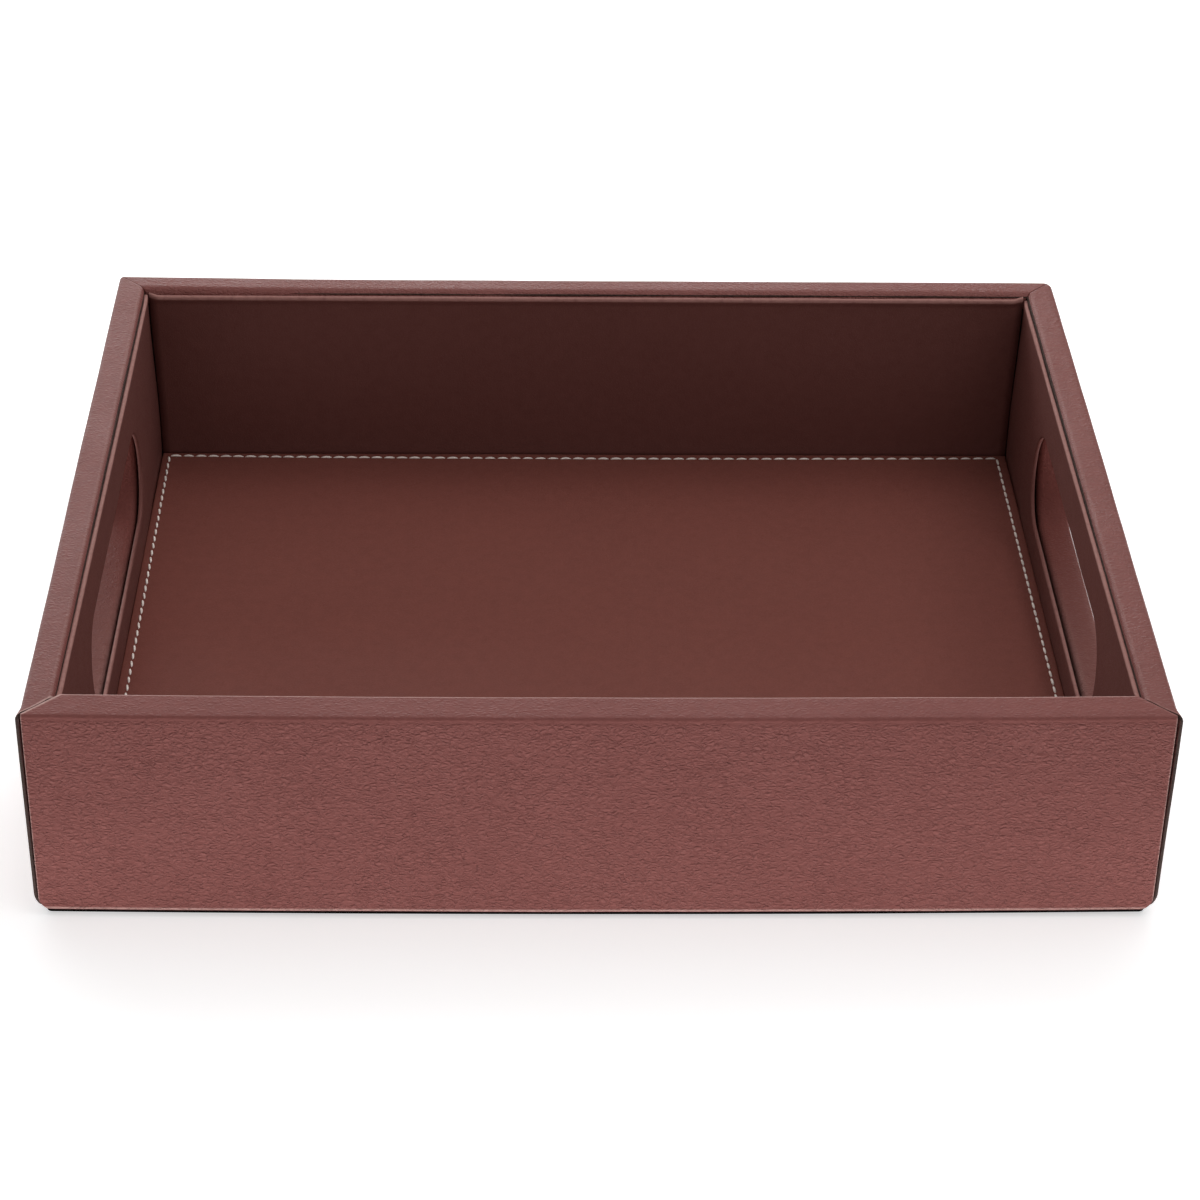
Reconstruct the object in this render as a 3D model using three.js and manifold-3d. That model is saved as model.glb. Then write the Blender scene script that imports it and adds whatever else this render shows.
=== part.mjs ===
// A leather-covered serving tray with a hand hole in each end wall.
// Millimetres, +Z up, front towards -Y, origin on the table under the middle.
import * as THREE from "three";
import { mergeVertices } from "three/addons/utils/BufferGeometryUtils.js";
import Module from "manifold-3d";

const wasm = await Module();
wasm.setup();

// Overall size, over the leather
const LENGTH = 340;
const WIDTH = 280;
const HEIGHT = 73;

// Carcass
const BOARD = 9;
const BASE = 2;
const REBATE_LIP = 1;

// Leather outside
const LEATHER = 0.9;
const GLUE = 0.15;
const RIM_BEND = 1.6;
const LONG_FOOT_BEND = 2;
const END_FOOT_BEND = 4;
const TURN_UNDER = 16;
const CORNER_GAP = 0.7;
const MITRE_GAP = 0.4;

// Hand holes, with semicircular ends
const HOLE_LENGTH = 144;
const HOLE_HEIGHT = 35.5;
const HOLE_LEVEL = 37;
const LINING_HOLE_INSET = 0.8;

// Lining panels
const LINING_CARD = 0.5;
const LINING_LEATHER = 0.3;
const LINING_GAP = 0.3;
const LINING_DROP = 1.6;
const LINING_TURN_BACK = 11;

// Floor panel and its stitching
const FLOOR_CARD = 1;
const FLOOR_LEATHER = 0.5;
const FLOOR_CLEARANCE = 0.3;
const FLOOR_BEND = 0.7;
const FLOOR_TURN_IN = 12;
const STITCH_INSET = 2.55;
const THREAD = 0.8;
const THREAD_LIFT = 0.05;

// Underside sheet
const FELT = 1.5;
const FELT_INSET = 2;
const FELT_CORNER = 3;

// Nails
const BRADS_PER_CORNER = 3;
const BRAD_LENGTH = 28;
const BRAD_RADIUS = 0.7;
const PINS_PER_LONG_WALL = 3;
const PINS_PER_END_WALL = 2;
const PIN_LENGTH = 11;
const PIN_RADIUS = 0.6;
const PIN_FROM_END = 26;
const NAIL_HEAD = 0.6;
const NAIL_HEAD_THICKNESS = 0.7;
const NAIL_TIP = 2;
const NAIL_CLEARANCE = 0.15;

// Levels and depths that follow from these
const SKIN = LEATHER + GLUE;
const RIM = BOARD + 2 * SKIN;
const REBATE = BOARD - (Math.max(LONG_FOOT_BEND, END_FOOT_BEND) - SKIN) - REBATE_LIP;
const COVER_FOOT = FELT + GLUE;
const BOARD_FOOT = COVER_FOOT + SKIN;
const BOARD_TOP = HEIGHT - SKIN;
const BASE_TOP = BOARD_FOOT + BASE;
const LINING_SKIN = LINING_LEATHER + GLUE;
const LINING = LINING_CARD + 2 * LINING_SKIN;
const LINING_BACK = RIM + LINING_GAP;
const LINING_FACE = LINING_BACK + LINING;
const LINING_FOOT = BASE_TOP + GLUE;
const LINING_TOP = HEIGHT - LINING_DROP;
const LINING_BEND = 0.43 * LINING;
const FLOOR_SKIN = FLOOR_LEATHER + GLUE;
const FLOOR_FOOT = BASE_TOP + GLUE;
const FLOOR_TOP = FLOOR_FOOT + FLOOR_CARD + 2 * FLOOR_SKIN;
const FLOOR_HALF_LENGTH = LENGTH / 2 - LINING_FACE - FLOOR_CLEARANCE;
const FLOOR_HALF_WIDTH = WIDTH / 2 - LINING_FACE - FLOOR_CLEARANCE;

const ALONG = new THREE.Vector3(1, 0, 0);
const INWARD = new THREE.Vector3(0, 1, 0);
const OUTWARD = new THREE.Vector3(0, -1, 0);
const UP = new THREE.Vector3(0, 0, 1);

function material(color, roughness, metalness = 0) {
  return new THREE.MeshStandardMaterial({ color, roughness, metalness });
}

const outerLeather = material(0x7a4e4b, 0.5);
const liningLeather = material(0x6b4039, 0.55);
const fibreboard = material(0x6e5138, 0.85);
const card = material(0x8d8478, 0.9);
const felt = material(0x2b211f, 0.95);
const thread = material(0xd8cabd, 0.8);
const steel = material(0x9b9da0, 0.4, 0.9);

// Conversions between three.js geometry and solids for cutting
function solidOf(geometry) {
  const bare = geometry.clone();
  bare.deleteAttribute("normal");
  bare.deleteAttribute("uv");
  const merged = mergeVertices(bare, 1e-4);
  const index = merged.index.array;
  const corners = [];
  for (let i = 0; i < index.length; i += 3) {
    const [a, b, c] = [index[i], index[i + 1], index[i + 2]];
    if (a !== b && b !== c && c !== a) corners.push(a, b, c);
  }
  const vertProperties = new Float32Array(merged.attributes.position.array);
  const triVerts = new Uint32Array(corners);
  return new wasm.Manifold(new wasm.Mesh({ numProp: 3, vertProperties, triVerts }));
}

function geometryOf(solid) {
  const mesh = solid.getMesh();
  const geometry = new THREE.BufferGeometry();
  const positions = new Float32Array(mesh.vertProperties);
  geometry.setAttribute("position", new THREE.BufferAttribute(positions, 3));
  geometry.setIndex(new THREE.BufferAttribute(new Uint32Array(mesh.triVerts), 1));
  geometry.computeVertexNormals();
  return geometry;
}

function meshOf(name, solid, surface) {
  const mesh = new THREE.Mesh(geometryOf(solid), surface);
  mesh.name = name;
  return mesh;
}

// Extrusions in a wall's own frame: X along the wall, Y inward from its outer face, Z up
function extrusion(shape, depth, curveSegments) {
  return new THREE.ExtrudeGeometry(shape, { depth, curveSegments, bevelEnabled: false });
}

function alongWall(section, run) {
  const geometry = extrusion(section, run, 2);
  geometry.applyMatrix4(new THREE.Matrix4().makeBasis(INWARD, UP, ALONG));
  geometry.translate(-run / 2, 0, 0);
  return solidOf(geometry);
}

function throughWall(elevation, from, to) {
  const geometry = extrusion(elevation, to - from, 6);
  geometry.applyMatrix4(new THREE.Matrix4().makeBasis(ALONG, UP, OUTWARD));
  geometry.translate(0, to, 0);
  return solidOf(geometry);
}

function upright(plan, from, to) {
  const geometry = extrusion(plan, to - from, 3);
  geometry.translate(0, 0, from);
  return solidOf(geometry);
}

function block(length, width, from, to) {
  const geometry = new THREE.BoxGeometry(length, width, to - from);
  geometry.translate(0, 0, (from + to) / 2);
  return solidOf(geometry);
}

// Outlines
function outline(points) {
  return new THREE.Shape(points.map(([x, y]) => new THREE.Vector2(x, y)));
}

function stadium(grow) {
  const radius = HOLE_HEIGHT / 2 + grow;
  const reach = (HOLE_LENGTH - HOLE_HEIGHT) / 2;
  const shape = new THREE.Shape();
  shape.absarc(reach, HOLE_LEVEL, radius, -Math.PI / 2, Math.PI / 2, false);
  shape.absarc(-reach, HOLE_LEVEL, radius, Math.PI / 2, (3 * Math.PI) / 2, false);
  return shape;
}

function roundedRectangle(halfLength, halfWidth, radius) {
  const shape = new THREE.Shape();
  const [a, b] = [halfLength - radius, halfWidth - radius];
  shape.absarc(a, -b, radius, -Math.PI / 2, 0, false);
  shape.absarc(a, b, radius, 0, Math.PI / 2, false);
  shape.absarc(-a, b, radius, Math.PI / 2, Math.PI, false);
  shape.absarc(-a, -b, radius, Math.PI, (3 * Math.PI) / 2, false);
  return shape;
}

// Section of a sheet folded square to the left at each inner point, its thickness on the left
function foldedSheet(points, bends, thickness) {
  const shape = new THREE.Shape();
  const legs = points.slice(1).map(([x, y], i) => {
    return new THREE.Vector2(x - points[i][0], y - points[i][1]).normalize();
  });
  const lefts = legs.map((leg) => new THREE.Vector2(-leg.y, leg.x));
  const arcs = bends.map((bend, i) => {
    const corner = new THREE.Vector2(...points[i + 1]);
    const centre = corner.addScaledVector(legs[i], -bend).addScaledVector(lefts[i], bend);
    const start = Math.atan2(-lefts[i].y, -lefts[i].x);
    return { centre, bend, start, end: start + Math.PI / 2 };
  });
  const last = points.length - 1;
  const tail = new THREE.Vector2(...points[last]).addScaledVector(lefts[last - 1], thickness);
  const head = new THREE.Vector2(...points[0]).addScaledVector(lefts[0], thickness);
  shape.moveTo(...points[0]);
  for (const arc of arcs) {
    shape.absarc(arc.centre.x, arc.centre.y, arc.bend, arc.start, arc.end, false);
  }
  shape.lineTo(...points[last]);
  shape.lineTo(tail.x, tail.y);
  for (const arc of arcs.reverse()) {
    const radius = Math.max(arc.bend - thickness, 0.08);
    shape.absarc(arc.centre.x, arc.centre.y, radius, arc.end, arc.start, true);
  }
  shape.lineTo(head.x, head.y);
  shape.closePath();
  return shape;
}

// Walls: each is modelled in its own frame and turned into place
const walls = [
  { name: "front", run: LENGTH, across: WIDTH, turn: 0, long: true },
  { name: "right", run: WIDTH, across: LENGTH, turn: Math.PI / 2, long: false },
  { name: "back", run: LENGTH, across: WIDTH, turn: Math.PI, long: true },
  { name: "left", run: WIDTH, across: LENGTH, turn: -Math.PI / 2, long: false },
];

for (const wall of walls) {
  const half = wall.across / 2;
  wall.group = new THREE.Group();
  wall.group.name = `${wall.name}_wall`;
  wall.group.rotation.z = wall.turn;
  wall.group.position.set(Math.sin(wall.turn) * half, -Math.cos(wall.turn) * half, 0);
  wall.group.updateMatrix();
  wall.footBend = wall.long ? LONG_FOOT_BEND : END_FOOT_BEND;
  wall.boardRun = wall.long ? wall.run - 2 * SKIN : wall.run - 2 * (SKIN + BOARD + GLUE);
}

// Nails: one profile, grown by the clearance for the holes they are driven in
function nail(length, radius, grow) {
  const headRadius = radius + NAIL_HEAD + grow;
  const neck = NAIL_HEAD_THICKNESS + grow;
  const profile = [
    [0, -grow],
    [headRadius, -grow],
    [headRadius, neck],
    [radius + grow, neck],
    [radius + grow, length - NAIL_TIP + grow],
    [0, length + grow],
  ];
  const points = profile.map(([x, y]) => new THREE.Vector2(x, y));
  return solidOf(new THREE.LatheGeometry(points, 6));
}

function bradPlaces(wall) {
  const places = [];
  const offset = wall.run / 2 - SKIN - BOARD / 2;
  const spacing = (BOARD_TOP - BOARD_FOOT) / BRADS_PER_CORNER;
  for (const side of [-1, 1]) {
    for (let i = 0; i < BRADS_PER_CORNER; i += 1) {
      places.push({ x: side * offset, z: BOARD_FOOT + (i + 0.5) * spacing, number: i + 1 });
    }
  }
  return places;
}

function pinPlaces(wall) {
  const count = wall.long ? PINS_PER_LONG_WALL : PINS_PER_END_WALL;
  const reach = wall.boardRun / 2 - PIN_FROM_END;
  const places = [];
  for (let i = 0; i < count; i += 1) {
    places.push({ x: reach * ((2 * i) / (count - 1) - 1), number: i + 1 });
  }
  return places;
}

function bradSolid(place, grow) {
  return nail(BRAD_LENGTH, BRAD_RADIUS, grow).translate([place.x, SKIN, place.z]);
}

function pinSolid(place, grow) {
  const upward = nail(PIN_LENGTH, PIN_RADIUS, grow).rotate([90, 0, 0]);
  return upward.translate([place.x, SKIN + BOARD - REBATE / 2, BOARD_FOOT]);
}

// Boards of the carcass
function boardSection(wall) {
  const foot = wall.footBend - SKIN;
  const edge = RIM_BEND - SKIN;
  const inner = SKIN + BOARD;
  const shoulder = BASE_TOP + GLUE;
  const shape = new THREE.Shape();
  shape.moveTo(inner - REBATE, BOARD_FOOT);
  shape.lineTo(inner - REBATE, shoulder);
  shape.lineTo(inner, shoulder);
  shape.absarc(inner - edge, BOARD_TOP - edge, edge, 0, Math.PI / 2, false);
  shape.absarc(SKIN + edge, BOARD_TOP - edge, edge, Math.PI / 2, Math.PI, false);
  shape.absarc(SKIN + foot, BOARD_FOOT + foot, foot, Math.PI, (3 * Math.PI) / 2, false);
  shape.closePath();
  return shape;
}

// The long boards' ends, rounded as the end boards are under the same leather
function longBoardElevation(wall) {
  const foot = END_FOOT_BEND - SKIN;
  const edge = RIM_BEND - SKIN;
  const half = wall.boardRun / 2;
  const shape = new THREE.Shape();
  shape.absarc(half - foot, BOARD_FOOT + foot, foot, -Math.PI / 2, 0, false);
  shape.absarc(half - edge, BOARD_TOP - edge, edge, 0, Math.PI / 2, false);
  shape.absarc(edge - half, BOARD_TOP - edge, edge, Math.PI / 2, Math.PI, false);
  shape.absarc(foot - half, BOARD_FOOT + foot, foot, Math.PI, (3 * Math.PI) / 2, false);
  return throughWall(shape, 0, RIM);
}

const longWalls = walls.filter((wall) => wall.long);
const wallCut = throughWall(stadium(SKIN), -1, RIM + 1);

for (const wall of walls) {
  let board = alongWall(boardSection(wall), wall.boardRun);
  for (const place of pinPlaces(wall)) {
    board = board.subtract(pinSolid(place, NAIL_CLEARANCE));
  }
  if (wall.long) {
    board = board.intersect(longBoardElevation(wall));
    for (const place of bradPlaces(wall)) {
      board = board.subtract(bradSolid(place, NAIL_CLEARANCE));
    }
  } else {
    board = board.subtract(wallCut);
    for (const other of longWalls) {
      const across = wall.group.matrix.clone().invert().multiply(other.group.matrix);
      for (const place of bradPlaces(other)) {
        board = board.subtract(bradSolid(place, NAIL_CLEARANCE).transform(across.elements));
      }
    }
  }
  wall.group.add(meshOf(`${wall.name}_wall_board`, board, fibreboard));
}

// Nails in the walls
for (const wall of longWalls) {
  for (const place of bradPlaces(wall)) {
    const side = place.x * Math.cos(wall.turn) < 0 ? "left" : "right";
    const name = `${wall.name}_${side}_brad_${place.number}`;
    wall.group.add(meshOf(name, bradSolid(place, 0), steel));
  }
}
for (const wall of walls) {
  for (const place of pinPlaces(wall)) {
    wall.group.add(meshOf(`${wall.name}_base_pin_${place.number}`, pinSolid(place, 0), steel));
  }
}

// Leather covers over the walls, mitred at the corners
function coverSection(wall) {
  const path = [
    [RIM, BASE_TOP + GLUE],
    [RIM, HEIGHT],
    [0, HEIGHT],
    [0, COVER_FOOT],
    [TURN_UNDER, COVER_FOOT],
  ];
  return foldedSheet(path, [RIM_BEND, RIM_BEND, wall.footBend], LEATHER);
}

// Room for one wall's cover: the wedge between the two mitres
function mitreWedge(wall) {
  const half = wall.run / 2 - MITRE_GAP / Math.SQRT2;
  const deep = TURN_UNDER + RIM;
  const wedge = outline([
    [-half - 1, -1],
    [half + 1, -1],
    [half - deep, deep],
    [deep - half, deep],
  ]);
  return upright(wedge, -1, HEIGHT + 1);
}

// The end covers' outer faces run on past the mitre to the tray's corners
function edgeStrip(wall) {
  const half = wall.run / 2;
  const strip = outline([
    [-half, -1],
    [half, -1],
    [half, LEATHER],
    [-half, LEATHER],
  ]);
  return upright(strip, -1, HEIGHT + 1);
}

// The long covers stop short of the corners, with their lower corners rounded
function coverElevation(wall) {
  const side = wall.run / 2 - LEATHER - CORNER_GAP;
  const radius = Math.max(END_FOOT_BEND - LEATHER - CORNER_GAP, 0.5);
  const shape = roundedRectangle(side, HEIGHT, radius);
  return throughWall(shape, -1, TURN_UNDER + RIM).translate([0, 0, COVER_FOOT + HEIGHT]);
}

for (const wall of walls) {
  let cover = alongWall(coverSection(wall), wall.run);
  if (wall.long) {
    cover = cover.intersect(mitreWedge(wall)).intersect(coverElevation(wall));
  } else {
    cover = cover.intersect(mitreWedge(wall).add(edgeStrip(wall))).subtract(wallCut);
    const sleeve = throughWall(stadium(LEATHER), 0, RIM);
    const bored = sleeve.subtract(throughWall(stadium(0), -1, RIM + 1));
    wall.group.add(meshOf(`${wall.name}_handle_sleeve`, bored, outerLeather));
  }
  wall.group.add(meshOf(`${wall.name}_outer_cover`, cover, outerLeather));
}

// Lining panels: a card in a thin leather folded over its top edge
const liningSection = foldedSheet(
  [
    [LINING_FACE, LINING_FOOT],
    [LINING_FACE, LINING_TOP],
    [LINING_BACK, LINING_TOP],
    [LINING_BACK, LINING_TOP - LINING_TURN_BACK],
  ],
  [LINING_BEND, LINING_BEND],
  LINING_LEATHER,
);

const liningCardSection = outline([
  [LINING_BACK + LINING_SKIN, LINING_FOOT],
  [LINING_FACE - LINING_SKIN, LINING_FOOT],
  [LINING_FACE - LINING_SKIN, LINING_TOP - LINING_BEND],
  [LINING_BACK + LINING_SKIN, LINING_TOP - LINING_BEND],
]);

function liningHole(grow, from, to) {
  return throughWall(stadium(grow - LINING_HOLE_INSET), from, to);
}

for (const wall of walls) {
  const run = wall.long ? wall.run - 2 * (LINING_FACE + GLUE) : wall.run - 2 * (RIM + GLUE);
  let stiffener = alongWall(liningCardSection, run);
  let cover = alongWall(liningSection, run);
  if (!wall.long) {
    const hole = liningHole(0, RIM - 1, LINING_FACE + 1);
    const lip = liningHole(LINING_LEATHER, LINING_BACK, LINING_FACE - 0.5 * LINING_LEATHER);
    stiffener = stiffener.subtract(liningHole(LINING_SKIN, RIM, LINING_FACE + 1));
    cover = cover.add(lip).subtract(hole);
  }
  wall.group.add(meshOf(`${wall.name}_lining_card`, stiffener, card));
  wall.group.add(meshOf(`${wall.name}_lining_cover`, cover, liningLeather));
}

// Base board, let into the walls' rebates and pinned
function baseBoard() {
  const inset = SKIN + BOARD - REBATE + GLUE;
  let board = block(LENGTH - 2 * inset, WIDTH - 2 * inset, BOARD_FOOT, BASE_TOP);
  for (const wall of walls) {
    for (const place of pinPlaces(wall)) {
      board = board.subtract(pinSolid(place, NAIL_CLEARANCE).transform(wall.group.matrix.elements));
    }
  }
  return board;
}

// Floor panel: a card in leather turned under its edges
function roundTopped(halfLength, halfWidth) {
  const level = FLOOR_TOP - FLOOR_BEND;
  function crowned(half) {
    const shape = new THREE.Shape();
    shape.moveTo(-half, FLOOR_FOOT);
    shape.lineTo(half, FLOOR_FOOT);
    shape.absarc(half - FLOOR_BEND, level, FLOOR_BEND, 0, Math.PI / 2, false);
    shape.absarc(FLOOR_BEND - half, level, FLOOR_BEND, Math.PI / 2, Math.PI, false);
    shape.closePath();
    return shape;
  }
  const lengthwise = alongWall(crowned(halfWidth), 2 * halfLength);
  const widthwise = throughWall(crowned(halfLength), -halfWidth, halfWidth);
  return lengthwise.intersect(widthwise);
}

function floorBlock(inset, from, to) {
  return block(2 * (FLOOR_HALF_LENGTH - inset), 2 * (FLOOR_HALF_WIDTH - inset), from, to);
}

const floorPocket = floorBlock(FLOOR_LEATHER, FLOOR_FOOT + FLOOR_LEATHER, FLOOR_TOP - FLOOR_LEATHER);
const floorWindow = floorBlock(FLOOR_TURN_IN, FLOOR_FOOT - 1, FLOOR_TOP - FLOOR_SKIN);
const floorShell = roundTopped(FLOOR_HALF_LENGTH, FLOOR_HALF_WIDTH);
const floorCover = floorShell.subtract(floorPocket).subtract(floorWindow);
const floorCard = floorBlock(FLOOR_SKIN, FLOOR_FOOT + FLOOR_SKIN, FLOOR_FOOT + FLOOR_SKIN + FLOOR_CARD);

const stitchFoot = FLOOR_TOP + THREAD_LIFT;
const stitchTop = stitchFoot + THREAD / 2;
const stitchOuter = floorBlock(STITCH_INSET - THREAD / 2, stitchFoot, stitchTop);
const stitchInner = floorBlock(STITCH_INSET + THREAD / 2, stitchFoot - 1, stitchTop + 1);

const feltPlan = roundedRectangle(LENGTH / 2 - FELT_INSET, WIDTH / 2 - FELT_INSET, FELT_CORNER);

const tray = new THREE.Group();
tray.name = "serving_tray";
for (const wall of walls) {
  tray.add(wall.group);
}
tray.add(meshOf("base_board", baseBoard(), fibreboard));
tray.add(meshOf("floor_card", floorCard, card));
tray.add(meshOf("floor_cover", floorCover, liningLeather));
tray.add(meshOf("floor_stitching", stitchOuter.subtract(stitchInner), thread));
tray.add(meshOf("underside_sheet", upright(feltPlan, 0, FELT), felt));

export default tray;
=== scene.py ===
import math
import bmesh
import bpy
from mathutils import Matrix, Vector, noise


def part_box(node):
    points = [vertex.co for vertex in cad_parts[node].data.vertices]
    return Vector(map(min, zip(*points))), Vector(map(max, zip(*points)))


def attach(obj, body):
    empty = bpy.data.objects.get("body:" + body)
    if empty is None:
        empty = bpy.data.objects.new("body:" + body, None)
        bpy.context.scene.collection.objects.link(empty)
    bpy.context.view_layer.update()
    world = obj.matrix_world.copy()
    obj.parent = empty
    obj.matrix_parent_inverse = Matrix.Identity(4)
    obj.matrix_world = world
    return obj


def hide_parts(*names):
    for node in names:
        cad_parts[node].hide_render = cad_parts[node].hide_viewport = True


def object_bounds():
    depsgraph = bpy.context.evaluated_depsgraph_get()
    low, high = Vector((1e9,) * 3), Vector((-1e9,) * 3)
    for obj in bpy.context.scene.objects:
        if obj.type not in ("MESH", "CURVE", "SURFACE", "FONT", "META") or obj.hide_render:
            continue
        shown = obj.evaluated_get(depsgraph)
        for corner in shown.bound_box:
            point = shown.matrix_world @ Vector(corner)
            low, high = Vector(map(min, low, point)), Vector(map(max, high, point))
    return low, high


# A leather-covered serving tray: leather sheets cut flat and folded round the boards of the frame
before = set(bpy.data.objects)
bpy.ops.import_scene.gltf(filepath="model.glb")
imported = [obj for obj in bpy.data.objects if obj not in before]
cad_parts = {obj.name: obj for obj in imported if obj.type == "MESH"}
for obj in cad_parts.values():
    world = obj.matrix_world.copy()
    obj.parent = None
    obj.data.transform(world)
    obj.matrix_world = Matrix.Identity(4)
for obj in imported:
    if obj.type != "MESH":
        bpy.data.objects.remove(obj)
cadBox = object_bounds()
scene = bpy.context.scene
scene.view_settings.view_transform = "Standard"

mm = 0.001  # meshes are worked in millimetres and scaled to metres at the end
near = 0.002  # two levels closer than this are the same level
square = math.pi / 2
sheetCell = 3.0  # mesh size of the leather on the walls
holeSides = 96  # corners round the two ends of a hand hole


def nodeBox(name):
    low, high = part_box(name)
    return low / mm, high / mm


# Main sizes, read from the frame
trayLow, trayHigh = cadBox[0] / mm, cadBox[1] / mm
sleeveLow, sleeveHigh = nodeBox("right_handle_sleeve")
longLiningLow, longLiningHigh = nodeBox("back_lining_cover")
endLiningLow, endLiningHigh = nodeBox("right_lining_cover")
floorLow, floorHigh = nodeBox("floor_cover")
feltLow, feltHigh = nodeBox("underside_sheet")
threadHigh = nodeBox("floor_stitching")[1]
coverFoot = nodeBox("front_outer_cover")[0].z

tray = {
    "length": trayHigh.x - trayLow.x,
    "width": trayHigh.y - trayLow.y,
    "height": trayHigh.z,
    "rim": sleeveHigh.x - sleeveLow.x,  # width of the rim, over the leather
    "liningFace": trayHigh.y - longLiningLow.y,  # from a wall's outer face to its lining
    "liningBack": trayHigh.y - longLiningHigh.y,
}
walls = {
    "front": {"turn": 0.0, "run": tray["length"], "across": tray["width"], "end": False},
    "right": {"turn": square, "run": tray["width"], "across": tray["length"], "end": True},
    "back": {"turn": 2 * square, "run": tray["length"], "across": tray["width"], "end": False},
    "left": {"turn": -square, "run": tray["width"], "across": tray["length"], "end": True},
}
print("frame read:", len(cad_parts), "nodes")


# Small helpers for sheets of leather
def smoothStep(value):
    value = max(0.0, min(1.0, value))
    return value * value * (3 - 2 * value)


def blankSheet():
    bm = bmesh.new()
    bm.loops.layers.uv.new("pattern")
    bm.verts.layers.float.new("flat")
    bm.verts.layers.float.new("wearAndPaintedLight")  # 1 where the leather is drawn pale: partly real wear, partly painted highlights and painted light
    return bm


def pick(geom, kind):
    return [part for part in geom if isinstance(part, kind)]


def extrude(bm, edges):  # the new corners and edges, still in the old place
    grown = bmesh.ops.extrude_edge_only(bm, edges=edges)["geom"]
    return pick(grown, bmesh.types.BMVert), pick(grown, bmesh.types.BMEdge)


def growEdge(bm, edges, step):  # carries an edge on, and gives the new one
    verts, edges = extrude(bm, edges)
    bmesh.ops.translate(bm, verts=verts, vec=step)
    return edges


def edgesAtLevel(bm, axis, level):
    return [edge for edge in bm.edges if all(abs(vert.co[axis] - level) < near for vert in edge.verts)]


def growRows(bm, heights):  # more rows of the flat pattern, up or down
    edges = edgesAtLevel(bm, 2, heights[0])
    for before, after in zip(heights, heights[1:]):
        edges = growEdge(bm, edges, (0, 0, after - before))


def evenRows(start, end, count):
    return [start + (end - start) * row / count for row in range(count + 1)]


def bendRows(start, radius, steps, way):  # rows of a square bend, a chord apart
    chord = 2 * radius * math.sin(square / 2 / steps)
    return [start + way * chord * row for row in range(steps + 1)]


def plainPanel(bm, run, low, high):  # stands in the XZ plane and faces -Y
    place = Matrix.Translation((0, 0, (low + high) / 2)) @ Matrix.Rotation(square, 4, "X")
    place = place @ Matrix.Diagonal((run, high - low, 1, 1))
    columns, rows = round(run / sheetCell), round((high - low) / sheetCell)
    bmesh.ops.create_grid(bm, x_segments=columns, y_segments=rows, size=0.5, matrix=place)


def holeSpine(point):  # nearest point on the hand hole's middle line
    reach = (hole["length"] - hole["height"]) / 2
    return Vector((max(-reach, min(reach, point.x)), point.y, hole["level"]))


def growHoleEdge(bm, edges, grow, back=0.0):  # carries an edge away from the hole and through the wall
    verts, edges = extrude(bm, edges)
    for vert in verts:
        vert.co = vert.co + (vert.co - holeSpine(vert.co)).normalized() * grow
        vert.co.y += back
    return edges


def rollHoleEdge(bm, edges, radius, start, turn, steps):  # carries it round an arc
    for step in range(steps):
        before, after = (start + turn * place / steps for place in (step, step + 1))
        grow = radius * (math.sin(before) - math.sin(after))
        edges = growHoleEdge(bm, edges, grow, radius * (math.cos(before) - math.cos(after)))
    return edges


def holeLoop(bm, grow):  # a slot with round ends, this much larger than the hand hole
    radius = hole["height"] / 2 + grow
    reach = hole["length"] / 2 + grow - radius
    place = Matrix.Rotation(square, 4, "X") @ Matrix.Rotation(math.pi / holeSides, 4, "Z")
    bmesh.ops.create_circle(bm, cap_ends=False, segments=holeSides, radius=radius, matrix=place)
    for vert in bm.verts:
        vert.co.x += math.copysign(reach, vert.co.x)
    straight = [edge for edge in bm.edges if edge.calc_length() > reach]
    bmesh.ops.subdivide_edges(bm, edges=straight, cuts=round(2 * reach / sheetCell))
    bmesh.ops.translate(bm, verts=bm.verts[:], vec=(0, 0, hole["level"]))
    return bm.edges[:]


def piercedPanel(bm, run, low, high, grow):  # a plain panel with a hand hole in it
    edges = holeLoop(bm, grow)
    rise, fall = high - hole["level"], hole["level"] - low
    block = (hole["length"] - hole["height"]) / 2 + rise  # half the run of the part round the hole
    for ring in (0.4, 0.8, 1.6):
        edges = growHoleEdge(bm, edges, ring)
    ringFaces = set(bm.faces)
    borderVerts, borderEdges = extrude(bm, edges)
    for vert in borderVerts:  # straight out to the nearest border
        spine = holeSpine(vert.co)
        way = (vert.co - spine).normalized()
        reaches = [(rise if way.z > 0 else fall) / abs(way.z)] if abs(way.z) > 1e-6 else []
        if abs(way.x) > 1e-6:
            reaches.append((block - abs(spine.x)) / abs(way.x))
        vert.co = spine + way * min(reaches)
    for corner in [Vector((x, 0, z)) for x in (-block, block) for z in (low, high)]:
        closest = min(borderVerts, key=lambda vert: (vert.co - corner).length)
        closest.co = corner
    outward = {edge for face in bm.faces if face not in ringFaces for edge in face.edges}
    outward -= set(borderEdges) | set(edges)
    bmesh.ops.subdivide_edges(bm, edges=list(outward), cuts=6, use_grid_fill=True)
    columns = round((run / 2 - block) / sheetCell)
    for side in (-1, 1):
        edges = edgesAtLevel(bm, 0, side * block)
        for column in range(columns):
            edges = growEdge(bm, edges, (side * (run / 2 - block) / columns, 0, 0))


def wallPanel(bm, wall, run, low, high, grow):  # only an end wall's panel has a hand hole
    if wall["end"]:
        piercedPanel(bm, run, low, high, grow)
    else:
        plainPanel(bm, run, low, high)


def turnOut(bm, outward):  # outward says how far a face looks the right way
    bmesh.ops.recalc_face_normals(bm, faces=bm.faces[:])
    if sum(outward(face) for face in bm.faces) < 0:
        bmesh.ops.reverse_faces(bm, faces=bm.faces[:])


def faceForward(bm):  # the sheet's good side towards -Y
    turnOut(bm, lambda face: -face.normal.y * face.calc_area())


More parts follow.
